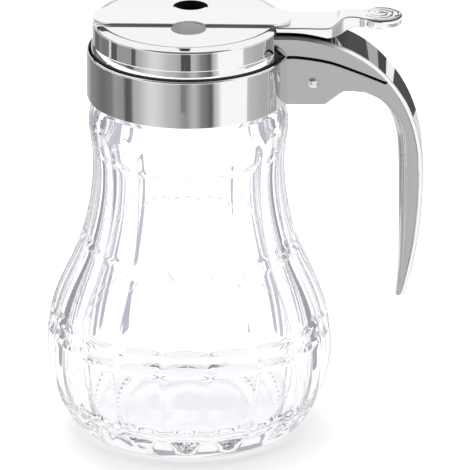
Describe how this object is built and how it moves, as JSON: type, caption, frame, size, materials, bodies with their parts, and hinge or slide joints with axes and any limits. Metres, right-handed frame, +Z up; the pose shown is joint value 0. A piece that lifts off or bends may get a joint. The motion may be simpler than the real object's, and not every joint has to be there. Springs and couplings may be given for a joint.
{
  "type": "honey dispenser",
  "caption": "Pear-shaped fluted glass jar with a chromed round lid, a curved side handle and a sliding pour gate worked by a round thumb pad.",
  "frame": {"origin": "middle of the jar's flat base, on the surface it stands on", "axes": "+Z up along the jar's axis, +X towards the handle and thumb pad, +Y to the side"},
  "size_m": [0.111, 0.083, 0.1286],
  "materials": {
    "glass": "clear, smooth",
    "chrome": "mirror",
    "bright_chrome": "mirror",
    "steel": "smooth"
  },
  "bodies": {
    "dispenser": {"jar": "glass", "collar_bracket": "chrome", "cap_housing": "chrome", "bridge_strip": "bright_chrome", "rivet": "steel"},
    "gate": {"gate_lever": "bright_chrome"}
  },
  "joints": [
    {"name": "gate_slide", "type": "slide", "parent": "dispenser", "child": "gate", "axis": [1, 0, 0], "range_m": [0, 0.01], "stiffness_N_per_m": 200, "springref_m": -0.005}
  ]
}
